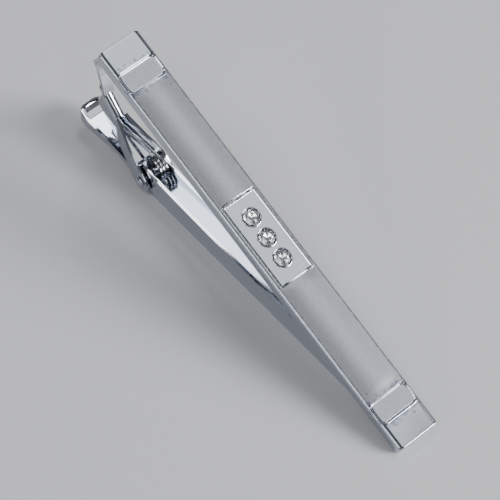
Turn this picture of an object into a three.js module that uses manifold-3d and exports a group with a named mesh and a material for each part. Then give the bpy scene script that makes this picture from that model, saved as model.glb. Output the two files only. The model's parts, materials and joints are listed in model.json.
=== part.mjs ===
// Tie clip: a long domed front bar, hinged to a sprung channel-shaped jaw.
// Millimetres, +Z up. The clip lies on the flat back of its jaw, at z = 0.
// +X runs along the jaw from the hinge to the gripping tip, and Y across it.
import * as THREE from 'three';
import { mergeVertices } from 'three/addons/utils/BufferGeometryUtils.js';
import Module from 'manifold-3d';

const wasm = await Module();
wasm.setup();

const rad = THREE.MathUtils.degToRad;

// Hinge: the pivot's place on the clip, and the bar's slope over the jaw.
const PIVOT_X = -18;
const PIVOT_H = 1.7;
const BAR_SLOPE = 18.9;

// Bar frame: x from the hinge end, z = 0 at the top edges of the bar.
const PIVOT_BAR_X = 13.7;
const PIVOT_BAR_Z = -15.7;

// Front bar.
const BAR_LENGTH = 60;
const BAR_HALF = 3.12;
const BAR_WALL = 0.52;
const BAR_DEPTH = 1.55;
const PLATE_UNDER = -0.55;
const CROWN = 0.35;
const EDGE_IN = 0.34;
const CAP_Z = 0.05;
const BAND_STARTS = [3.5, 53.4];
const BAND_WIDTH = 3;
const BAND_FLOOR = -0.1;
const PANEL_X = 29.9;
const PANEL_LENGTH = 12.1;
const PANEL_HALF = 2.5;
const PANEL_FLOOR = -0.12;
const BAND_MARGIN = 0.3;
const BAND_SLOPE = 0.36;
const PANEL_SLOPE = 0.4;
const BAR_CORNER = 0.4;
const CAP_ROUND = 0.18;

// Crystals and their seats.
const STONE_PITCH = 3.07;
const STONE_R = 1.03;
const SEAT_R = 1.17;
const SEAT_FLOOR = -0.72;
const BOSS_UNDER = -1.1;

// Clip arm, bent from one sheet.
const ARM_SHEET = 0.44;
const FORK_SHEET = 0.45;
const NECK_END = 5.9;
const NECK_FOLD = 0.78;
const PAD_Z = -0.95;
const PIN_R = 0.47;
const EAR_R = 1.5;

// Torsion spring.
const WIRE_R = 0.21;
const COIL_R = 1.52;
const COIL_X = 13.6;
const COIL_Z = -14.9;
const COIL_Y = [-0.28, 0.96];

// Jaw.
const JAW_SHEET = 0.4;
const JAW_HALF = 1.6;
const JAW_TIP = 47.3;
const JAW_WALL = 3.3;
const THUMB_HALF = 2.05;

const SATIN = { color: 0xa8aab0, roughness: 0.42, metalness: 1 };
const POLISHED = { color: 0xc4c7cc, roughness: 0.12, metalness: 1 };
const STEEL = { color: 0xb5b7ba, roughness: 0.3, metalness: 1 };

// Turns a closed three.js geometry into a solid.
function solid(geometry) {
  const bare = geometry.index ? geometry : geometry.clone();
  bare.deleteAttribute('normal');
  bare.deleteAttribute('uv');
  const merged = mergeVertices(bare, 1e-5);
  return new wasm.Manifold(new wasm.Mesh({
    numProp: 3,
    vertProperties: new Float32Array(merged.attributes.position.array),
    triVerts: new Uint32Array(merged.index.array),
  }));
}

function geometryOf(body) {
  const mesh = body.getMesh();
  const geometry = new THREE.BufferGeometry();
  const position = new THREE.BufferAttribute(mesh.vertProperties, 3);
  geometry.setAttribute('position', position);
  geometry.setIndex(new THREE.BufferAttribute(mesh.triVerts, 1));
  geometry.computeVertexNormals();
  return geometry;
}

function extrusion(points, depth) {
  const shape = new THREE.Shape(points.map(([a, b]) => new THREE.Vector2(a, b)));
  return new THREE.ExtrudeGeometry(shape, { depth, bevelEnabled: false });
}

// An outline in (x, z), swept across the width.
function sideSweep(points, yMin, yMax) {
  const geometry = extrusion(points, yMax - yMin);
  geometry.rotateX(Math.PI / 2);
  geometry.translate(0, yMax, 0);
  return solid(geometry);
}

// An outline in (x, y), raised from zMin to zMax.
function planSweep(points, zMin, zMax) {
  const geometry = extrusion(points, zMax - zMin);
  geometry.translate(0, 0, zMin);
  return solid(geometry);
}

// An outline in (y, z), swept along the length.
function sectionSweep(points, xMin, xMax) {
  const geometry = extrusion(points, xMax - xMin);
  geometry.applyMatrix4(new THREE.Matrix4().makeBasis(
    new THREE.Vector3(0, 1, 0),
    new THREE.Vector3(0, 0, 1),
    new THREE.Vector3(1, 0, 0),
  ));
  geometry.translate(xMin, 0, 0);
  return solid(geometry);
}

// A solid through plan outlines of equal length, each at its own height.
function loft(levels) {
  const count = levels[0].points.length;
  const positions = levels.flatMap(({ points, z }) => points.flatMap(([x, y]) => [x, y, z]));
  const flat = levels[0].points.map(([x, y]) => new THREE.Vector2(x, y));
  const caps = THREE.ShapeUtils.triangulateShape(flat, []);
  const top = (levels.length - 1) * count;
  const index = [];
  for (const [a, b, c] of caps) {
    index.push(a, c, b);
    index.push(top + a, top + b, top + c);
  }
  for (let level = 0; level < levels.length - 1; level += 1) {
    for (let i = 0; i < count; i += 1) {
      const a = level * count + i;
      const b = level * count + ((i + 1) % count);
      index.push(a, b, b + count);
      index.push(a, b + count, a + count);
    }
  }
  const geometry = new THREE.BufferGeometry();
  geometry.setAttribute('position', new THREE.Float32BufferAttribute(positions, 3));
  geometry.setIndex(index);
  return solid(geometry);
}

function arc(cx, cy, r, from, to, steps) {
  const points = [];
  for (let i = 0; i <= steps; i += 1) {
    const angle = rad(from + ((to - from) * i) / steps);
    points.push([cx + r * Math.cos(angle), cy + r * Math.sin(angle)]);
  }
  return points;
}

function circle(cx, cy, r, steps) {
  return arc(cx, cy, r, 0, 360, steps).slice(0, steps);
}

function roundedBox(xMin, xMax, half, r, steps = 5) {
  return [
    ...arc(xMax - r, -half + r, r, -90, 0, steps),
    ...arc(xMax - r, half - r, r, 0, 90, steps),
    ...arc(xMin + r, half - r, r, 90, 180, steps),
    ...arc(xMin + r, -half + r, r, 180, 270, steps),
  ];
}

// Closes an upper line of (x, y) points with its mirror image in y.
function mirrored(points) {
  const far = points.filter(([, y]) => y > 1e-6).map(([x, y]) => [x, -y]);
  return [...points, ...far.reverse()].reverse();
}

function piece(name, shape, look) {
  const mesh = new THREE.Mesh(shape, new THREE.MeshStandardMaterial(look));
  mesh.name = name;
  return mesh;
}

// ---- Front bar -------------------------------------------------------------

// Half of the bar's section, from its bottom edge up and over to the crown.
function barSection() {
  const shoulder = BAR_HALF - EDGE_IN;
  const half = [[BAR_HALF, -BAR_DEPTH]];
  half.push(...arc(shoulder, -EDGE_IN, EDGE_IN, 0, 90, 5));
  for (let i = 1; i <= 8; i += 1) {
    const y = shoulder * (1 - i / 8);
    half.push([y, CROWN * (1 - (y / shoulder) ** 2)]);
  }
  const left = half.filter(([y]) => y > 1e-6).map(([y, z]) => [-y, z]);
  return [...half, ...left.reverse()];
}

// The bar's side outline, with rounded top edges at both ends.
function barSide() {
  const top = 1;
  const right = [
    [BAR_LENGTH, -BAR_DEPTH],
    ...arc(BAR_LENGTH - CAP_ROUND, CAP_Z - CAP_ROUND, CAP_ROUND, 0, 90, 4),
    [BAR_LENGTH - CAP_ROUND, top],
  ];
  const left = right.map(([x, z]) => [BAR_LENGTH - x, z]).reverse();
  return [...right, ...left];
}

// A pocket in the bar's face: a flat floor and sloped walls.
function facePocket(xMin, xMax, half, r, floor, wall) {
  const rim = roundedBox(xMin, xMax, half, r);
  const bed = roundedBox(xMin + wall, xMax - wall, half - wall * 0.7, r * 0.5);
  return loft([
    { points: bed, z: floor },
    { points: rim, z: floor + 0.32 },
    { points: rim, z: 1 },
  ]);
}

// A blind bore with a sloped mouth.
function stoneSeat(x) {
  return loft([
    { points: circle(x, 0, SEAT_R, 24), z: SEAT_FLOOR },
    { points: circle(x, 0, SEAT_R, 24), z: PANEL_FLOOR - 0.1 },
    { points: circle(x, 0, SEAT_R + 0.2, 24), z: PANEL_FLOOR + 0.1 },
  ]);
}

function stoneX(index) {
  return PANEL_X + (index - 1) * STONE_PITCH;
}

function frontBar() {
  const plan = planSweep(roundedBox(0, BAR_LENGTH, BAR_HALF, BAR_CORNER), -2, 1);
  let bar = sectionSweep(barSection(), -1, BAR_LENGTH + 1).intersect(plan);
  bar = bar.intersect(sideSweep(barSide(), -4, 4));
  const innerHalf = BAR_HALF - BAR_WALL;
  const inner = roundedBox(BAR_WALL, BAR_LENGTH - BAR_WALL, innerHalf, BAR_CORNER);
  bar = bar.subtract(planSweep(inner, -2, PLATE_UNDER));
  const boss = roundedBox(PANEL_X - 4.9, PANEL_X + 4.9, 1.9, 0.6);
  bar = bar.add(planSweep(boss, BOSS_UNDER, PLATE_UNDER + 0.2));
  const capEnds = [[-1, BAND_STARTS[0] + 1], [BAND_STARTS[1] + 1, BAR_LENGTH + 1]];
  for (const [xMin, xMax] of capEnds) {
    const above = [[xMin, CAP_Z], [xMax, CAP_Z], [xMax, 2], [xMin, 2]];
    bar = bar.subtract(sideSweep(above, -4, 4));
  }
  for (const start of BAND_STARTS) {
    const end = start + BAND_WIDTH;
    const half = BAR_HALF - BAND_MARGIN;
    bar = bar.subtract(facePocket(start, end, half, 0.45, BAND_FLOOR, BAND_SLOPE));
  }
  const panelMin = PANEL_X - PANEL_LENGTH / 2;
  const panelMax = PANEL_X + PANEL_LENGTH / 2;
  const panel = facePocket(panelMin, panelMax, PANEL_HALF, 0.3, PANEL_FLOOR, PANEL_SLOPE);
  bar = bar.subtract(panel);
  for (let i = 0; i < 3; i += 1) {
    bar = bar.subtract(stoneSeat(stoneX(i)));
  }
  return geometryOf(bar);
}

// ---- Crystals --------------------------------------------------------------

function roundStone() {
  const profile = [
    [0, -0.6], [0.62, -0.6], [STONE_R, -0.16], [STONE_R, -0.06], [0.58, 0.24], [0, 0.24],
  ];
  const points = profile.map(([r, y]) => new THREE.Vector2(r, y));
  const geometry = new THREE.LatheGeometry(points, 16);
  geometry.rotateX(Math.PI / 2);
  return geometryOf(solid(geometry));
}

function cementBed() {
  const bed = loft([
    { points: circle(0, 0, 0.95, 20), z: SEAT_FLOOR + 0.03 },
    { points: circle(0, 0, 0.75, 20), z: -0.63 },
  ]);
  return geometryOf(bed);
}

// ---- Clip arm --------------------------------------------------------------

// The side outline of a bent strip of sheet along a curve.
function stripOutline(points, thickness, steps) {
  const curve = new THREE.SplineCurve(points.map(([x, z]) => new THREE.Vector2(x, z)));
  const upper = [];
  const lower = [];
  for (let i = 0; i <= steps; i += 1) {
    const at = curve.getPoint(i / steps);
    const along = curve.getTangent(i / steps);
    const side = new THREE.Vector2(-along.y, along.x).multiplyScalar(thickness / 2);
    upper.push([at.x + side.x, at.y + side.y]);
    lower.push([at.x - side.x, at.y - side.y]);
  }
  return [...lower, ...upper.reverse()];
}

// The pad under the bar, and the swan neck that drops from it.
function armTongue() {
  const path = [
    [5.5, PAD_Z], [3.6, PAD_Z], [2.1, PAD_Z], [1.3, -1.35], [0.75, -2.3], [0.2, -3.5],
    [-0.3, -4.7], [-0.52, -5.8], [-0.45, -6.9], [-0.1, -7.9], [0.45, -8.8],
    [1.15, -9.6], [1.8, -10.4], [2.3, -11.2], [2.75, -12.1],
  ];
  const strip = sideSweep(stripOutline(path, ARM_SHEET, 40), -3, 3);
  const half = [
    [2, -0.4], [2, -3], [1.8, -5], [1.5, -6.4], [1, -7.8], [0.8, -8.8], [0.8, -13],
  ];
  const left = half.map(([y, z]) => [-y, z]).reverse();
  return strip.intersect(sectionSweep([...half, ...left].reverse(), -2, 8));
}

// The fork's lower edge, from the neck to the ears.
const FORK_LOW = [[2.4, -14.2], [3.6, -14.9], [5.7, -15.65], [9.5, -15.9], [11.4, -16]];

// The fork's upper edge, from the ears back to the neck.
const FORK_HIGH = [
  [14.9, -15.2], [14.3, -14.8], [13.3, -14.3], [12.3, -14.02], [11.3, -13.95],
  [9.5, -13.8], [NECK_END, -13],
];

// The fork's plan: narrow at the neck, widening to the two ears.
function forkPlan(inset) {
  const near = [
    [0, 0.8], [5, 0.8], [6.4, 0.95], [7.8, 1.27], [9.8, 1.75], [11.5, 2.13],
    [12.5, 2.2], [17, 2.2],
  ];
  return mirrored(near.map(([x, y]) => [x, y - inset]));
}

// The neck's rolled section: a bar with rounded upper edges along the neck's top line.
function neckRoll() {
  const half = 0.8;
  const r = NECK_FOLD;
  const round = [...arc(half - r, -r, r, 0, 90, 9), ...arc(-half + r, -r, r, 90, 180, 9)];
  const geometry = extrusion([[-half, -6], [half, -6], ...round], 7);
  geometry.applyMatrix4(new THREE.Matrix4().makeBasis(
    new THREE.Vector3(0, 1, 0),
    new THREE.Vector3(0, 0, 1),
    new THREE.Vector3(1, 0, 0),
  ));
  geometry.rotateY(Math.atan2(13 - 11.45, NECK_END - 2.4));
  geometry.translate(2.4, 0, -11.45);
  const fore = sideSweep([[-2, -20], [NECK_END, -20], [NECK_END, -8], [-2, -8]], -3, 3);
  return solid(geometry).intersect(fore);
}

// An inverted channel that opens into two ears, with a seam along the rolled neck.
function armFork() {
  const ear = arc(PIVOT_BAR_X, PIVOT_BAR_Z, EAR_R, -108, 5, 14);
  const outline = [...FORK_LOW, ...ear, ...FORK_HIGH, [2.4, -11.45]];
  const sheet = sideSweep(outline, -3, 3).intersect(planSweep(forkPlan(0), -20, -8));
  const aft = sideSweep([[NECK_END, -20], [20, -20], [20, -8], [NECK_END, -8]], -3, 3);
  const outer = sheet.intersect(aft).add(sheet.intersect(neckRoll()));
  const floor = FORK_LOW.map(([x, z]) => [x, z + FORK_SHEET]);
  const roof = [[NECK_END, -13 - FORK_SHEET], [2.4, -11.45 - FORK_SHEET], [1, -11.1]];
  const hollow = [[1, -13.05], ...floor.slice(0, 4), [11.5, -15.6], [11.5, -20], [18, -20]];
  hollow.push([18, -8], [NECK_END, -8], ...roof);
  const channel = sideSweep(hollow, -3, 3);
  const inner = channel.intersect(planSweep(forkPlan(FORK_SHEET - 0.05), -21, -7));
  const seam = planSweep([[1, 0.22], [6.5, 0.22], [6.5, 0.4], [1, 0.4]], -13.6, -8);
  return outer.subtract(inner).subtract(seam);
}

function clipArm() {
  const hole = circle(PIVOT_BAR_X, PIVOT_BAR_Z, PIN_R + 0.03, 32);
  const fork = armFork().subtract(sideSweep(hole, -3, 3));
  return geometryOf(armTongue().add(fork));
}

// ---- Rivet and spring ------------------------------------------------------

// A pin with a domed head at each end.
function rivet() {
  const half = [[PIN_R, 2.23], [0.66, 2.23], [0.66, 2.38], [0.56, 2.56], [0.32, 2.68], [0, 2.72]];
  const lower = half.map(([r, y]) => [r, -y]).reverse();
  const points = [...lower, ...half].map(([r, y]) => new THREE.Vector2(r, y));
  return geometryOf(solid(new THREE.LatheGeometry(points, 32)));
}

// The wire's centre line: thumb leg, coil, neck leg and end hook.
function springPath() {
  const path = [[5.95, -0.1, -17.76], [7.2, -0.18, -17.33], [8.31, -0.25, -16.94]];
  path.push([11, -0.3, -16.71]);
  const turns = 2;
  const from = 275;
  const sweep = 101 + 360 * turns + 360 - from;
  const steps = Math.round((sweep / 360) * 16);
  for (let i = 0; i <= steps; i += 1) {
    const angle = rad(from + (sweep * i) / steps);
    const y = COIL_Y[0] + ((COIL_Y[1] - COIL_Y[0]) * i) / steps;
    path.push([COIL_X + COIL_R * Math.cos(angle), y, COIL_Z + COIL_R * Math.sin(angle)]);
  }
  path.push([11.5, 0.78, -13.8], [9.5, 0.55, -14.2], [7.6, 0.25, -14.6]);
  path.push([6.1, 0.12, -14.78], [4.6, 0.1, -14.2], [3.3, 0.1, -13.5], [2.4, 0.1, -13.15]);
  path.push([1.75, 0.08, -13.08], [1.4, 0.05, -12.78], [1.3, 0, -12.2], [1.3, 0, -11.5]);
  return path.map(([x, y, z]) => new THREE.Vector3(x, y, z));
}

function torsionSpring() {
  const path = springPath();
  const curve = new THREE.CatmullRomCurve3(path, false, 'centripetal');
  curve.arcLengthDivisions = 2000;
  const section = circle(0, 0, WIRE_R, 8).map(([x, y]) => new THREE.Vector2(x, y));
  const shape = new THREE.Shape(section);
  return new THREE.ExtrudeGeometry(shape, { steps: 110, extrudePath: curve });
}

// ---- Jaw (x from the pivot, z up from its flat back) ------------------------

// Height of the bar's underside over the jaw, less a small clearance.
function underBar(x) {
  const slope = rad(BAR_SLOPE);
  const drop = x - (PLATE_UNDER - PIVOT_BAR_Z) * Math.sin(slope);
  const rise = (PLATE_UNDER - PIVOT_BAR_Z) * Math.cos(slope);
  return PIVOT_H + rise - drop * Math.tan(slope) - 0.15;
}

// The toothed edge that grips the cloth, from the tip back.
function jawTeeth() {
  const teeth = [[JAW_TIP, underBar(JAW_TIP)]];
  for (let x = JAW_TIP - 0.5; x > 42.6; x -= 0.8) {
    teeth.push([x, underBar(x)]);
    teeth.push([x - 0.4, underBar(x - 0.4) - 0.32]);
  }
  return teeth;
}

// The jaw's side outline: thumb plate, flat back, teeth, wall tops and ears.
function jawSide() {
  return [
    [-12.75, 2.3], [-12.3, 1.88], [-11.6, 1.64], [-10.8, 1.6], [-5.5, 1.6], [-4.9, 1.45], [-1, 0.12],
    [-0.4, 0], [44.2, 0], [45.3, 0.1], [46.2, 0.4], [46.9, 0.85], [JAW_TIP, 1.25],
    ...jawTeeth(),
    [42, JAW_WALL - 0.12], [41, JAW_WALL], [12.5, JAW_WALL], [5.6, 3.5],
    [2.8, 3.65], [1.4, 3.85], [0.4, 3.95], [-0.4, 3.85], [-1.1, 3.4],
    [-1.55, 2.8], [-1.8, 2.2], [-1.86, 1.8], [-2.2, 1.55], [-2.9, 1.6], [-4, 1.9],
    [-5.5, 2.35], [-8, 2.7], [-10.6, 3], [-12.4, 3.1], [-12.9, 3.05], [-12.95, 2.7],
  ];
}

// The jaw's plan: a spade-shaped thumb plate, then a straight channel to the tip.
function jawPlan(inset) {
  const rim = [
    [-13 + inset, 0], [-12.95 + inset, 0.6], [-12.75 + inset, 1.25],
    [-12.25 + inset * 0.6, 1.8 - inset * 0.7], [-11.4, THUMB_HALF - inset],
    [-9, 1.96 - inset], [-6, 1.74 - inset], [-4, JAW_HALF - inset],
  ];
  const curve = new THREE.SplineCurve(rim.map(([x, y]) => new THREE.Vector2(x, y)));
  const thumb = curve.getPoints(42).map((point) => [point.x, point.y]);
  const nose = [
    [46.2, JAW_HALF - inset], [46.9, 1.3 - inset], [JAW_TIP + 0.01 - inset, 0.7 - inset],
  ];
  return mirrored([...thumb, ...nose]);
}

// A channel of thin sheet, open on top, with a pin hole through both ears.
function jaw() {
  const outer = sideSweep(jawSide(), -3, 3).intersect(planSweep(jawPlan(0), -1, 6));
  const web = [
    [-13.1, 3.3], [-12.5, 2.75], [-12, 2.35], [-11.3, 2.04], [-10.8, 2], [-5.4, 2],
    [-4.7, 1.82], [-0.9, 0.52], [-0.35, JAW_SHEET],
    [44, JAW_SHEET], [45.1, 0.5], [46, 0.78], [46.9, 1.25], [48, 2],
    [48, 6], [-13.1, 6],
  ];
  const inner = sideSweep(web, -3, 3).intersect(planSweep(jawPlan(JAW_SHEET), -2, 7));
  const hole = sideSweep(circle(0, PIVOT_H, PIN_R + 0.06, 32), -3, 3);
  return geometryOf(outer.subtract(inner).subtract(hole));
}

// ---- Assembly --------------------------------------------------------------

const clip = new THREE.Group();

const barFrame = new THREE.Group();
barFrame.position.set(PIVOT_X, 0, PIVOT_H);
barFrame.rotation.y = rad(BAR_SLOPE);
clip.add(barFrame);

const barParts = new THREE.Group();
barParts.position.set(-PIVOT_BAR_X, 0, -PIVOT_BAR_Z);
barFrame.add(barParts);

barParts.add(piece('front_bar', frontBar(), SATIN));
const glass = { color: 0xe9edf2, roughness: 0.03, metalness: 0 };
const glue = { color: 0x8a8676, roughness: 0.6, metalness: 0 };
for (let i = 0; i < 3; i += 1) {
  const crystal = piece(`crystal_${i + 1}`, roundStone(), glass);
  crystal.position.set(stoneX(i), 0, 0);
  const cement = piece(`crystal_cement_${i + 1}`, cementBed(), glue);
  cement.position.set(stoneX(i), 0, 0);
  barParts.add(crystal, cement);
}

const solder = loft([
  { points: roundedBox(1.75, 5.75, 2.1, 0.4), z: PAD_Z + ARM_SHEET / 2 + 0.02 },
  { points: roundedBox(1.5, 6, 2.3, 0.5), z: PLATE_UNDER - 0.02 },
]);
barParts.add(piece('solder_joint', geometryOf(solder), { ...STEEL, roughness: 0.5 }));
barParts.add(piece('clip_arm', clipArm(), POLISHED));

const pin = piece('pivot_rivet', rivet(), POLISHED);
pin.position.set(PIVOT_BAR_X, 0, PIVOT_BAR_Z);
barParts.add(pin);
barParts.add(piece('torsion_spring', torsionSpring(), STEEL));

const jawPiece = piece('jaw', jaw(), POLISHED);
jawPiece.position.x = PIVOT_X;
clip.add(jawPiece);

export default clip;
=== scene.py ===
import json
import math

import bmesh
import bpy
from mathutils import Matrix, Quaternion, Vector


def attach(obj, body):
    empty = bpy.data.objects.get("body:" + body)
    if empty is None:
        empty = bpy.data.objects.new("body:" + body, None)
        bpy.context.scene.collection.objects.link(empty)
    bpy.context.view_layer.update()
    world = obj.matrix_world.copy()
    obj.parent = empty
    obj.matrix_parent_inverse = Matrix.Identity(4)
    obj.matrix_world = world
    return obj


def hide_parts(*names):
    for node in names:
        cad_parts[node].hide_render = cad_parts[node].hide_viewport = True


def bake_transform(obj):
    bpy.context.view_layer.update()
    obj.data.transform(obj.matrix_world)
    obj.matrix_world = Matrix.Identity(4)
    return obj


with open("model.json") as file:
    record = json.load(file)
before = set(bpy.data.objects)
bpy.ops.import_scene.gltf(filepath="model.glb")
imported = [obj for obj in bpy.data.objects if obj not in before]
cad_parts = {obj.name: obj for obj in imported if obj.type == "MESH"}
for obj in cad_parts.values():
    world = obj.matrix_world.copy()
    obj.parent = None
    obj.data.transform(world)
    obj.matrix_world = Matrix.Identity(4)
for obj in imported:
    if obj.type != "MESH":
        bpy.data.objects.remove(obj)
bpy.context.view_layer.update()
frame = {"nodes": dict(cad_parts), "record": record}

MM = 0.001
nodes = frame["nodes"]

# The bar's own frame: x in mm from its hinge end, z = 0 at the top edges of the bar.
PIVOT = Vector(frame["record"]["behaviour"]["joints"][0]["pos_m"])
BAR_SLOPE = math.radians(18.9)
PIVOT_IN_BAR = Vector((13.7, 0, -15.7))
BAR = (
    Matrix.Translation(PIVOT)
    @ Matrix.Rotation(BAR_SLOPE, 4, "Y")
    @ Matrix.Scale(MM, 4)
    @ Matrix.Translation(-PIVOT_IN_BAR)
)

# Front bar, in mm: its length and half width, the hollow under it and its edges.
LENGTH = 60
HALF = 3.12
DEPTH = 1.55
WALL = 0.52
UNDER = -0.55
CROWN = 0.35
CAP_Z = 0.05
EDGE = 0.34
CORNER = 0.4
END_ROUND = 0.18

# Sunk bands near the bar's ends.
BAND_STARTS = (3.5, 53.4)
BAND_WIDTH = 3
BAND_HALF = HALF - 0.3
BAND_ROUND = 0.72
BAND_SLOPE = 0.24
BAND_FLOOR = -0.1

# Sunk panel in the middle, the ramp past its end, and the boss under it.
PANEL_X = 29.9
PANEL_LENGTH = 12.1
PANEL = (PANEL_X - PANEL_LENGTH / 2, PANEL_X + PANEL_LENGTH / 2)
PANEL_HALF = 2.5
PANEL_ROUND = 0.28
PANEL_SLOPE = 0.26
PANEL_HINGE_SLOPE = 0.38
PANEL_FLOOR = -0.12
RAMP_LENGTH = 1.5
RAMP_DROP = 0.19
BOSS_MARGIN = 1.15
BOSS_HALF = 1.9
BOSS_UNDER = -1.1

# The fine raised rim round each band and round the panel.
RIM_HEIGHT = 0.035
RIM_PLACE = 0.04
RIM_SPREAD = 0.06

# Where the blasting stops: in from the bar's sides, out from the panel's rim and in
# from a band's rim, each with the width over which it fades.
SATIN_SIDE = (0.2, 0.25)
SATIN_PANEL = (0.06, 0.08)
SATIN_BAND = (0.32, 0.12)

# Stones and their seats.
STONE_PITCH = 3.07
STONES = [PANEL_X + step * STONE_PITCH for step in (-1, 0, 1)]
STONE_R = 1.04
SEAT_R = 1.17
SEAT_FLOOR = -0.72

# Spring wire and coil, in the bar's frame.
WIRE_R = 0.21
COIL = Vector((13.6, 0, -14.9))
COIL_R = 1.52
COIL_Y = (-0.28, 0.96)
COIL_START = 275
COIL_SWEEP = 906


# ---- Mesh helpers ----------------------------------------------------------

def add_object(name, mesh, material):
    piece = bpy.data.objects.new(name, mesh)
    bpy.context.scene.collection.objects.link(piece)
    if material:
        mesh.materials.append(material)
    return piece


def add_mesh(name, verts, faces, material, matrix=None):
    mesh = bpy.data.meshes.new(name)
    if matrix is not None:
        verts = [matrix @ Vector(v) for v in verts]
    mesh.from_pydata([tuple(v) for v in verts], [], faces)
    return add_object(name, mesh, material)


def tidy_normals(piece, angle):
    """Turns all faces outward and smooths across every edge flatter than the angle."""
    bm = bmesh.new()
    bm.from_mesh(piece.data)
    bmesh.ops.recalc_face_normals(bm, faces=bm.faces)
    bm.to_mesh(piece.data)
    bm.free()
    piece.data.shade_smooth()
    piece.data.set_sharp_from_angle(angle=math.radians(angle))


def keep_flats_flat(piece):
    """Weights the smooth normals by face area, so that flat faces reflect as flat ones."""
    flats = piece.modifiers.new("flat_faces", "WEIGHTED_NORMAL")
    flats.keep_sharp = True
    flats.weight = 100


def soft(t, r=0.22):
    """0 to 1 along a straight slope with rounded ends."""
    t = min(max(t, 0), 1)
    slope = 1 / (1 - r)
    if t < r:
        return slope * t * t / (2 * r)
    if t > 1 - r:
        return 1 - slope * (1 - t) ** 2 / (2 * r)
    return slope * (t - r / 2)


def rect_distance(x, y, lo, hi, half, r):
    """Signed distance to a rectangle with round corners, negative inside it."""
    dx = abs(x - (lo + hi) / 2) - ((hi - lo) / 2 - r)
    dy = abs(y) - (half - r)
    return math.hypot(max(dx, 0), max(dy, 0)) - r + min(max(dx, dy), 0)


# ---- Front bar -------------------------------------------------------------

def band_distance(x, y):
    return min(
        rect_distance(x, y, start, start + BAND_WIDTH, BAND_HALF, BAND_ROUND)
        for start in BAND_STARTS
    )


def panel_distance(x, y):
    return rect_distance(x, y, PANEL[0], PANEL[1], PANEL_HALF, PANEL_ROUND)


def panel_depth(x, y):
    """0 at the panel's rim to 1 on its floor, down a wide bevel at the hinge end."""
    hinge_end = (x - PANEL[0]) / PANEL_HINGE_SLOPE
    tip_end = (PANEL[1] - x) / PANEL_SLOPE
    side = (PANEL_HALF - abs(y)) / PANEL_SLOPE
    return soft(min(hinge_end, tip_end, side))


def sunk(z, depth, floor, distance):
    """Height after a pocket with a fine raised rim is pressed in."""
    z += (floor - z) * depth
    return z + RIM_HEIGHT * math.exp(-(((distance - RIM_PLACE) / RIM_SPREAD) ** 2))


def crown_share(x):
    """0 over the flat caps, 0.72 at the bands, rising to 1 over 2 mm of the body."""
    inside = min(x - BAND_STARTS[0] - BAND_WIDTH, BAND_STARTS[1] - x)
    if inside <= -BAND_WIDTH / 2:
        return 0
    return 0.72 + 0.28 * soft(inside / 2, 0.45)


def bar_top(x, y):
    """Height of the bar's face: a crown between rounded edges, with all that is sunk in it."""
    shoulder = HALF - EDGE
    if abs(y) > shoulder:
        over = min((abs(y) - shoulder) / EDGE, 1)
        z = -EDGE + EDGE * math.sqrt(1 - over * over)
    else:
        z = CROWN * (1 - (y / shoulder) ** 2)
        if z > CAP_Z:
            z = CAP_Z + (z - CAP_Z) * crown_share(x)
        ramp = min(max((x - PANEL[1]) / RAMP_LENGTH, 0), 1)
        if ramp > 0:
            z -= RAMP_DROP * (1 - ramp) ** 2 * (1 - (y / shoulder) ** 2)
    band = band_distance(x, y)
    z = sunk(z, soft(-band / BAND_SLOPE), BAND_FLOOR, band)
    return sunk(z, panel_depth(x, y), PANEL_FLOOR, panel_distance(x, y))


def satin_mask(x, y):
    """1 on the blasted surfaces, 0 on the polished ones."""
    if BAND_STARTS[0] + BAND_WIDTH < x < BAND_STARTS[1]:
        side = min((HALF - SATIN_SIDE[0] - abs(y)) / SATIN_SIDE[1], 1)
        panel = min((panel_distance(x, y) - SATIN_PANEL[0]) / SATIN_PANEL[1], 1)
        return max(min(side, panel), 0)
    band = (-band_distance(x, y) - SATIN_BAND[0]) / SATIN_BAND[1]
    return min(max(band, 0), 1)


def painted_reflection_mask(x, y):
    """1 beside the bands, where mottled dark reflections are painted into the plating, fading
    out within a millimetre.
    """
    distance = band_distance(x, y)
    return math.exp(-max(distance - 0.1, 0) / 0.8) if distance > 0.02 else 0


def spread(lo, hi, step):
    """Even steps from lo up to hi, without hi itself."""
    count = max(round((hi - lo) / step), 1)
    return [lo + (hi - lo) * i / count for i in range(count)]


def bar_stations():
    """x of each section: close together where the surface turns, wide apart elsewhere."""
    end = [0, 0.004, 0.015, 0.035, 0.065, 0.1, 0.14, END_ROUND, 0.25, 0.33, 0.42]
    end += [WALL - 0.002, WALL + 0.002]
    xs = end + spread(0.7, 2.3, 0.55) + spread(2.3, 3.3, 0.2)
    xs += spread(3.3, 4.05, 0.045) + spread(4.05, 5.95, 0.38) + spread(5.95, 6.7, 0.045)
    xs += spread(6.7, 8.7, 0.16) + spread(8.7, 23.6, 0.7)
    xs += spread(23.6, 24.45, 0.045) + [24.995, 25.005] + spread(25.4, 34.4, 0.9)
    xs += [34.795, 34.805] + spread(35.3, 36.2, 0.045) + spread(36.2, 38, 0.12)
    xs += spread(38, 51.3, 0.7) + spread(51.3, 53.2, 0.16)
    xs += spread(53.2, 54, 0.045) + spread(54, 55.85, 0.38) + spread(55.85, 56.65, 0.045)
    xs += spread(56.65, 57.6, 0.2) + spread(57.6, 59.3, 0.55)
    return xs + [LENGTH - x for x in reversed(end)]


def bar_lines():
    """y of each lengthwise line over half of the face."""
    lines = spread(0, 1.95, 0.195) + spread(1.95, 2.95, 0.045)
    lines += [HALF - EDGE + EDGE * math.sin(math.radians(a)) for a in range(30, 91, 6)]
    return lines


def end_inset(x, radius):
    """How far a quarter round of this radius at both ends cuts in at x."""
    near = min(x, LENGTH - x)
    return radius - math.sqrt(max(radius**2 - max(radius - near, 0) ** 2, 0))


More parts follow.
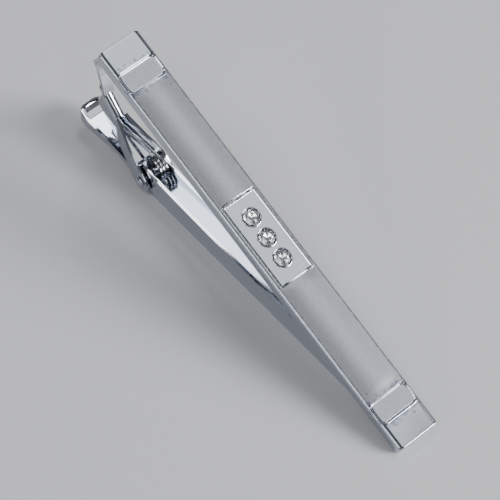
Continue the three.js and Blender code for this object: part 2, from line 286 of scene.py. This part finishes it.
def underside(x, y):
    """Height of the plate's lower face, with a thicker boss behind the stones."""
    over_boss = PANEL[0] + BOSS_MARGIN < x < PANEL[1] - BOSS_MARGIN
    return BOSS_UNDER if over_boss and abs(y) < BOSS_HALF + 0.01 else UNDER


def bar_section(x, lines):
    """One closed section of the bar, as (y, z, satin, painted reflection) points."""
    half = HALF - end_inset(x, CORNER)
    scale = half / HALF
    drop = end_inset(x, END_ROUND)
    face = [-y for y in reversed(lines[1:])] + lines
    points = [
        (y * scale, bar_top(x, y) - drop, satin_mask(x, y), painted_reflection_mask(x, y))
        for y in face
    ]
    hollow = WALL < x < LENGTH - WALL
    outside = [
        (half, -0.7), (half, -1.1), (half, -1.45), (half - 0.02, -1.52), (half - 0.08, -DEPTH),
    ]
    inner = half - WALL
    inside = [
        (inner + 0.08, -DEPTH), (inner + 0.02, -1.52), (inner, -1.44), (inner, -0.75),
        (inner - 0.04, -0.62), (inner - 0.14, UNDER), (BOSS_HALF + 0.03, UNDER),
    ]
    inside += [(y, underside(x, y)) for y in (BOSS_HALF, 1.2, 0.6, 0)]
    if not hollow:
        inside = [(y, -DEPTH) for y, z in inside]
    right = [(y, z, 0, 0) for y, z in outside + inside]
    left = [(-point[0], point[1], 0, 0) for point in reversed(right[:-1])]
    return points + right + left


def front_bar(material):
    """The bar as one closed mesh, with its satin mask and its painted dark reflection mask as
    point attributes.
    """
    lines = bar_lines()
    verts, faces, satins, painted_reflections = [], [], [], []
    stations = bar_stations()
    for x in stations:
        section = bar_section(x, lines)
        verts += [BAR @ Vector((x, y, z)) for y, z, satin, painted_reflection in section]
        satins += [satin for y, z, satin, painted_reflection in section]
        painted_reflections += [painted_reflection for y, z, satin, painted_reflection in section]
    count = len(section)
    for i in range(len(stations) - 1):
        for j in range(count):
            a = i * count + j
            b = i * count + (j + 1) % count
            faces.append((a, b, b + count, a + count))
    faces.append(tuple(range(count)))
    faces.append(tuple(range(len(verts) - count, len(verts))))
    piece = add_mesh("bar_body", verts, faces, material)
    # The second attribute marks where dark reflections are painted into the plating's colour.
    for name, values in (("satin", satins), ("painted_reflection", painted_reflections)):
        layer = piece.data.attributes.new(name, "FLOAT", "POINT")
        layer.data.foreach_set("value", values)
    tidy_normals(piece, 35)
    return piece


def lathe(profile, steps, close=False):
    """Rings of (radius, height) about +Z, capped unless closed into a torus."""
    verts, faces = [], []
    for r, z in profile:
        for i in range(steps):
            a = 2 * math.pi * i / steps
            verts.append((r * math.cos(a), r * math.sin(a), z))
    rings = len(profile)
    for k in range(rings if close else rings - 1):
        for i in range(steps):
            j = (i + 1) % steps
            n = (k + 1) % rings
            faces.append((k * steps + i, k * steps + j, n * steps + j, n * steps + i))
    if not close:
        faces.append(tuple(range(steps)))
        faces.append(tuple(range((rings - 1) * steps, rings * steps)))
    return verts, faces


def cut_seats(bar):
    """Bores the three blind stone seats into the panel's floor."""
    for x in STONES:
        verts, faces = lathe([(SEAT_R + 0.1, SEAT_FLOOR), (SEAT_R + 0.1, 0.5)], 64)
        cutter = add_mesh("cutter", verts, faces, None, BAR @ Matrix.Translation((x, 0, 0)))
        tidy_normals(cutter, 30)
        cut = bar.modifiers.new("seat", "BOOLEAN")
        cut.operation = "DIFFERENCE"
        cut.solver = "EXACT"
        cut.object = cutter
        bpy.context.view_layer.objects.active = bar
        bpy.ops.object.modifier_apply(modifier="seat")
        bpy.data.objects.remove(cutter)
    tidy_normals(bar, 35)
    keep_flats_flat(bar)


def seat_collar(index, x, material):
    """A thin sleeve in the seat, with a rounded lip just above the panel's floor."""
    bottom = SEAT_FLOOR - PANEL_FLOOR + 0.01
    offsets = [
        (0.09, bottom), (0.09, -0.03), (0.14, -0.02), (0.13, 0.015), (0.08, 0.045),
        (0.03, 0.05), (-0.03, 0.03), (-0.07, -0.02), (-0.09, -0.1), (-0.09, bottom),
    ]
    profile = [(SEAT_R + r, PANEL_FLOOR + z) for r, z in offsets]
    verts, faces = lathe(profile, 72, close=True)
    place = BAR @ Matrix.Translation((x, 0, 0))
    ring = add_mesh(f"seat_collar_{index}", verts, faces, material, place)
    tidy_normals(ring, 40)
    return ring


# ---- Crystals --------------------------------------------------------------

def circle(count, radius, height, phase):
    """Points spaced evenly round a circle about +Z."""
    angles = [2 * math.pi * i / count + phase for i in range(count)]
    return [(radius * math.cos(a), radius * math.sin(a), height) for a in angles]


def crystal(index, x, glass, foil):
    """A foiled round stone: table, star and kite facets over a shallow pointed back."""
    phase = 0.42 + 0.1 * index
    points = circle(8, 0.56, 0.24, phase)
    points += circle(8, 0.83, 0.115, phase + math.pi / 8)
    points += circle(16, STONE_R, -0.04, phase)
    points += circle(8, STONE_R, -0.11, phase)
    points.append((0, 0, -0.36))
    bm = bmesh.new()
    for p in points:
        bm.verts.new(p)
    bmesh.ops.convex_hull(bm, input=bm.verts)
    bmesh.ops.dissolve_limit(bm, angle_limit=math.radians(2), verts=bm.verts, edges=bm.edges)
    bmesh.ops.transform(bm, matrix=BAR @ Matrix.Translation((x, 0, 0)), verts=bm.verts)
    bmesh.ops.recalc_face_normals(bm, faces=bm.faces)
    mesh = bpy.data.meshes.new(f"stone_{index + 1}")
    bm.to_mesh(mesh)
    bm.free()
    piece = add_object(f"stone_{index + 1}", mesh, glass)
    mesh.materials.append(foil)
    down = (BAR.to_3x3() @ Vector((0, 0, -1))).normalized()
    for face in mesh.polygons:
        if face.normal.dot(down) > 0.2:
            face.material_index = 1
    return piece


# ---- Bent and pressed parts -------------------------------------------------

def bevel(bm, edges, width, segments):
    bmesh.ops.bevel(
        bm, geom=edges, offset=width * MM, segments=segments, profile=0.5,
        affect="EDGES", clamp_overlap=True,
    )


def jaw_bend(edge):
    """The long outer edges along the web, which are rolled bends in the sheet."""
    middle = (edge.verts[0].co + edge.verts[1].co) / 2
    faces = [f.normal for f in edge.link_faces]
    side = any(abs(n.y) > 0.6 for n in faces)
    under = any(n.z < -0.5 for n in faces)
    return side and under and edge.calc_face_angle(0) > 0.6 and middle.z < 2.6 * MM


def finer_copy(node, name, material, edge, rounded=None):
    """A copy of a CAD node with merged flats and broken edges.

    rounded is the radius of its rolled bends and the test that picks their edges.
    """
    bm = bmesh.new()
    bm.from_mesh(nodes[node].data)
    bmesh.ops.remove_doubles(bm, verts=bm.verts, dist=0.004 * MM)
    bmesh.ops.dissolve_limit(bm, angle_limit=math.radians(1.2), verts=bm.verts, edges=bm.edges)
    if rounded:
        radius, chosen = rounded
        bevel(bm, [e for e in bm.edges if len(e.link_faces) == 2 and chosen(e)], radius, 5)
    sharp = [
        e for e in bm.edges
        if len(e.link_faces) == 2 and e.calc_face_angle(0) > math.radians(38)
    ]
    bevel(bm, sharp, edge, 3)
    mesh = bpy.data.meshes.new(name)
    bm.to_mesh(mesh)
    bm.free()
    piece = add_object(name, mesh, material)
    mesh.shade_smooth()
    mesh.set_sharp_from_angle(angle=math.radians(33))
    keep_flats_flat(piece)
    return piece


# ---- Spring and rivet -------------------------------------------------------

def spring_points():
    """The wire's centre line: the leg to the thumb tray, the coil, the neck leg and its hook."""
    points = [(5.95, -0.1, -17.76), (7.2, -0.18, -17.33), (8.31, -0.25, -16.94)]
    points.append((11, -0.28, -16.71))
    steps = 90
    for i in range(steps + 1):
        a = math.radians(COIL_START + COIL_SWEEP * i / steps)
        y = COIL_Y[0] + (COIL_Y[1] - COIL_Y[0]) * i / steps
        points.append((COIL.x + COIL_R * math.cos(a), y, COIL.z + COIL_R * math.sin(a)))
    points += [(11.5, 0.78, -13.8), (9.5, 0.55, -14.2), (7.6, 0.25, -14.6), (6.1, 0.12, -14.78)]
    points += [(4.6, 0.1, -14.2), (3.3, 0.1, -13.5), (2.4, 0.1, -13.15), (1.75, 0.08, -13.08)]
    return points + [(1.4, 0.05, -12.78), (1.3, 0, -12.2), (1.3, 0, -11.5)]


def spring(material):
    curve = bpy.data.curves.new("spring", "CURVE")
    curve.dimensions = "3D"
    curve.bevel_depth = WIRE_R * MM
    curve.bevel_resolution = 5
    curve.use_fill_caps = True
    curve.resolution_u = 5
    spline = curve.splines.new("BEZIER")
    points = spring_points()
    spline.bezier_points.add(len(points) - 1)
    for knot, p in zip(spline.bezier_points, points):
        knot.co = BAR @ Vector(p)
        knot.handle_left_type = knot.handle_right_type = "AUTO"
    shape = bpy.data.objects.new("spring_curve", curve)
    bpy.context.scene.collection.objects.link(shape)
    bpy.context.view_layer.update()
    depsgraph = bpy.context.evaluated_depsgraph_get()
    mesh = bpy.data.meshes.new_from_object(shape.evaluated_get(depsgraph))
    bpy.data.objects.remove(shape)
    mesh.name = "spring"
    mesh.materials.clear()
    piece = add_object("spring_wire", mesh, material)
    mesh.shade_smooth()
    mesh.set_sharp_from_angle(angle=math.radians(40))
    return piece


def rivet(material):
    """The hinge pin. Each end has a domed head with a small dimple in its middle."""
    half = [
        (0.47, 2.225), (0.62, 2.225), (0.655, 2.25), (0.665, 2.31), (0.65, 2.38), (0.6, 2.47),
        (0.5, 2.56), (0.36, 2.63), (0.24, 2.66), (0.16, 2.64), (0.08, 2.6), (0.02, 2.59),
    ]
    profile = [(r, -z) for r, z in reversed(half)] + half
    verts, faces = lathe(profile, 48)
    place = BAR @ Matrix.Translation(PIVOT_IN_BAR) @ Matrix.Rotation(math.pi / 2, 4, "X")
    piece = add_mesh("rivet_pin", verts, faces, material, place)
    tidy_normals(piece, 50)
    return piece


# ---- Materials --------------------------------------------------------------

# Bar plating colours: polished, the two tones of the blasted grain, and the painted dark
# reflection spots.
MIRROR = (0.52, 0.555, 0.62, 1)
BLASTED_DARK = (0.515, 0.535, 0.6, 1)
BLASTED_LIGHT = (0.605, 0.625, 0.69, 1)
PAINTED_DARK_REFLECTION = (0.33, 0.355, 0.45, 1)


def new_material(name):
    material = bpy.data.materials.new(name)
    material.use_nodes = True
    tree = material.node_tree
    return material, tree, tree.nodes["Principled BSDF"]


def noise(tree, scale, detail):
    place = tree.nodes.new("ShaderNodeTexCoord")
    texture = tree.nodes.new("ShaderNodeTexNoise")
    texture.inputs["Scale"].default_value = scale
    texture.inputs["Detail"].default_value = detail
    tree.links.new(place.outputs["Object"], texture.inputs["Vector"])
    return texture.outputs["Fac"]


def attribute(tree, name):
    node = tree.nodes.new("ShaderNodeAttribute")
    node.attribute_name = name
    return node.outputs["Fac"]


def remap(tree, value, lo, hi, to_lo, to_hi):
    node = tree.nodes.new("ShaderNodeMapRange")
    node.inputs["From Min"].default_value = lo
    node.inputs["From Max"].default_value = hi
    node.inputs["To Min"].default_value = to_lo
    node.inputs["To Max"].default_value = to_hi
    tree.links.new(value, node.inputs["Value"])
    return node.outputs["Result"]


def maths(tree, operation, a, b):
    node = tree.nodes.new("ShaderNodeMath")
    node.operation = operation
    for socket, value in zip(node.inputs, (a, b)):
        if isinstance(value, (int, float)):
            socket.default_value = value
        else:
            tree.links.new(value, socket)
    return node.outputs[0]


def blend_colors(tree, factor, a, b):
    node = tree.nodes.new("ShaderNodeMix")
    node.data_type = "RGBA"
    tree.links.new(factor, node.inputs["Factor"])
    for name, value in (("A", a), ("B", b)):
        socket = [i for i in node.inputs if i.name == name and i.type == "RGBA"][0]
        if isinstance(value, tuple):
            socket.default_value = value
        else:
            tree.links.new(value, socket)
    return [o for o in node.outputs if o.type == "RGBA"][0]


def bump(tree, height, strength, distance):
    node = tree.nodes.new("ShaderNodeBump")
    if isinstance(strength, (int, float)):
        node.inputs["Strength"].default_value = strength
    else:
        tree.links.new(strength, node.inputs["Strength"])
    node.inputs["Distance"].default_value = distance * MM
    tree.links.new(height, node.inputs["Height"])
    return node.outputs["Normal"]


def polished_metal(name, color, low, high, wear=0.012):
    """Bright plating: roughness from low to high in patches, and faint handling marks."""
    material, tree, shader = new_material(name)
    shader.inputs["Metallic"].default_value = 1
    shader.inputs["Base Color"].default_value = (*color, 1)
    haze = noise(tree, 420, 4)
    tree.links.new(remap(tree, haze, 0.35, 0.75, low, high), shader.inputs["Roughness"])
    tree.links.new(bump(tree, noise(tree, 900, 5), wear, 0.05), shader.inputs["Normal"])
    return material


def plated_bar(name):
    """Bar plating: blasted where the satin mask is 1, mirror-bright elsewhere, with dark
    reflections painted in as darker mottled spots, most of them beside the bands.
    """
    material, tree, shader = new_material(name)
    shader.inputs["Metallic"].default_value = 1
    ragged = remap(tree, noise(tree, 1500, 5), 0.3, 0.7, -0.2, 0.2)
    satin = remap(tree, maths(tree, "ADD", attribute(tree, "satin"), ragged), 0.3, 0.7, 0, 1)
    speck = remap(tree, noise(tree, 4500, 3), 0.36, 0.64, 0, 1)
    blasted = blend_colors(tree, speck, BLASTED_DARK, BLASTED_LIGHT)
    tone = blend_colors(tree, satin, MIRROR, blasted)
    # Painted dark reflections: darker mottled spots blended into the colour, most likely beside
    # the bands.
    reflection_likelihood = maths(tree, "MULTIPLY", attribute(tree, "painted_reflection"), 0.28)
    reflection_mottle = maths(tree, "ADD", noise(tree, 1700, 5), reflection_likelihood)
    spots = remap(tree, reflection_mottle, 0.7, 0.76, 0, 1)
    tree.links.new(blend_colors(tree, spots, tone, PAINTED_DARK_REFLECTION), shader.inputs["Base Color"])
    haze = remap(tree, noise(tree, 300, 4), 0.35, 0.7, 0.05, 0.11)
    grain = remap(tree, noise(tree, 7000, 2), 0.3, 0.7, 0.33, 0.39)
    satin_part = maths(tree, "MULTIPLY", satin, grain)
    mirror_part = maths(tree, "MULTIPLY", maths(tree, "SUBTRACT", 1, satin), haze)
    rough = maths(tree, "ADD", satin_part, mirror_part)
    tree.links.new(rough, shader.inputs["Roughness"])
    strength = maths(tree, "MULTIPLY", satin, 0.42)
    tree.links.new(bump(tree, noise(tree, 9000, 3), strength, 0.02), shader.inputs["Normal"])
    return material


def glass_material(name):
    """Clear cut crystal with slightly uneven polish."""
    material, tree, shader = new_material(name)
    shader.inputs["Base Color"].default_value = (0.96, 0.98, 1, 1)
    shader.inputs["Transmission Weight"].default_value = 1
    shader.inputs["IOR"].default_value = 1.6
    polish = remap(tree, noise(tree, 3000, 2), 0.3, 0.7, 0, 0.03)
    tree.links.new(polish, shader.inputs["Roughness"])
    return material


def dull_material(name, color, roughness, metallic):
    """An uneven matt surface, for the solder and the cement."""
    material, tree, shader = new_material(name)
    shader.inputs["Metallic"].default_value = metallic
    shader.inputs["Base Color"].default_value = (*color, 1)
    spots = noise(tree, 2500, 4)
    uneven = remap(tree, spots, 0.3, 0.7, roughness * 0.8, roughness * 1.2)
    tree.links.new(uneven, shader.inputs["Roughness"])
    tree.links.new(bump(tree, spots, 0.35, 0.06), shader.inputs["Normal"])
    return material


# ---- Building ---------------------------------------------------------------

bar_metal = plated_bar("bar_plating")
bright = polished_metal("polished_plating", (0.51, 0.535, 0.59), 0.04, 0.12, 0.006)
jaw_metal = polished_metal("jaw_plating", (0.53, 0.555, 0.61), 0.05, 0.12, 0.005)
wire = polished_metal("spring_plating", (0.54, 0.555, 0.59), 0.07, 0.16, 0.01)
glass = glass_material("crystal_glass")
foil = polished_metal("stone_foil", (0.95, 0.95, 0.97), 0.08, 0.2)
solder = dull_material("solder_metal", (0.5, 0.5, 0.5), 0.4, 1)
cement = dull_material("clear_cement", (0.25, 0.23, 0.18), 0.5, 0)

bar = front_bar(bar_metal)
cut_seats(bar)
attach(bar, "bar")
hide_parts("front_bar")

for i, x in enumerate(STONES):
    ring = seat_collar(i + 1, x, bright)
    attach(ring, "bar")
    stone = crystal(i, x, glass, foil)
    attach(stone, "bar")
    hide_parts(f"crystal_{i + 1}")
    bed = nodes[f"crystal_cement_{i + 1}"]
    bed.data.materials.clear()
    bed.data.materials.append(cement)

arm = finer_copy("clip_arm", "arm_sheet", bright, 0.12)
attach(arm, "bar")
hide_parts("clip_arm")

pin = rivet(bright)
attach(pin, "bar")
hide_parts("pivot_rivet")

jaw = finer_copy("jaw", "jaw_sheet", jaw_metal, 0.18, (0.3, jaw_bend))
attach(jaw, "jaw")
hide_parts("jaw")

coil = spring(wire)
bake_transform(coil)
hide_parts("torsion_spring")

nodes["solder_joint"].data.materials.clear()
nodes["solder_joint"].data.materials.append(solder)

# ---- Stage, light and camera --------------------------------------------------

floor_mat, _, floor_shader = new_material("floor")
floor_shader.inputs["Base Color"].default_value = (0.64, 0.645, 0.665, 1)
floor_shader.inputs["Roughness"].default_value = 0.5
floor_corners = [(-2, -2, 0), (2, -2, 0), (2, 2, 0), (-2, 2, 0)]
floor = add_mesh("floor", floor_corners, [(0, 1, 2, 3)], floor_mat)

world = bpy.data.worlds.new("studio")
bpy.context.scene.world = world
world.use_nodes = True
world.node_tree.nodes["Background"].inputs["Color"].default_value = (0.30, 0.31, 0.33, 1)
world.node_tree.nodes["Background"].inputs["Strength"].default_value = 0.5


def softbox(name, direction, distance, size, radiance, roll=0):
    """A rectangular area light that faces the object, set by how bright its face looks.

    distance and size are in metres. roll turns it about its own axis, in degrees.
    """
    data = bpy.data.lights.new(name, "AREA")
    data.shape = "RECTANGLE"
    data.size, data.size_y = size
    data.energy = radiance * math.pi * size[0] * size[1]
    lamp = bpy.data.objects.new(name, data)
    bpy.context.scene.collection.objects.link(lamp)
    toward = Vector(direction).normalized()
    lamp.location = toward * distance
    lamp.rotation_mode = "QUATERNION"
    turn = Quaternion((0, 0, 1), math.radians(roll))
    lamp.rotation_quaternion = (-toward).to_track_quat("-Z", "Y") @ turn


# The boxes and strips stand where the clip's polished faces and rims mirror them to the
# camera. The key lights the stones, the satin and the floor from the far side.
softbox("top_box", (0.15, 0.37, 0.91), 0.7, (0.3, 0.22), 1.25, 42)
softbox("left_box", (-0.366, 0.399, 0.841), 0.7, (0.18, 0.22), 5.2)
softbox("near_box", (-0.366, -0.43, 0.82), 0.7, (0.19, 0.2), 5.6)
softbox("edge_strip", (0.22, -0.45, 0.87), 0.7, (0.3, 0.12), 4)
softbox("wall_strip", (0.08, -0.89, 0.44), 0.8, (0.3, 0.1), 6)
softbox("far_strip", (0.12, 0.82, 0.55), 0.8, (0.26, 0.06), 3)
softbox("side_strip", (0.82, -0.3, 0.45), 0.8, (0.08, 0.2), 6)
softbox("key", (0.72, 0.55, 0.42), 0.95, (0.42, 0.34), 27)

cam_data = bpy.data.cameras.new("camera")
cam = bpy.data.objects.new("camera", cam_data)
bpy.context.scene.collection.objects.link(cam)
CAM_POS = Vector((128.997, -140.832, 302.461)) * MM
CAM_FWD = Vector((-0.36551141, 0.39869165, -0.84109832))
CAM_RIGHT = Vector((0.66180341, 0.74673413, 0.06636556))
axes = Matrix((CAM_RIGHT, CAM_RIGHT.cross(CAM_FWD), -CAM_FWD)).transposed().to_4x4()
cam.matrix_world = Matrix.Translation(CAM_POS) @ axes
cam_data.lens = 207.74
cam_data.sensor_width = 36
cam_data.clip_start = 0.01
bpy.context.scene.camera = cam
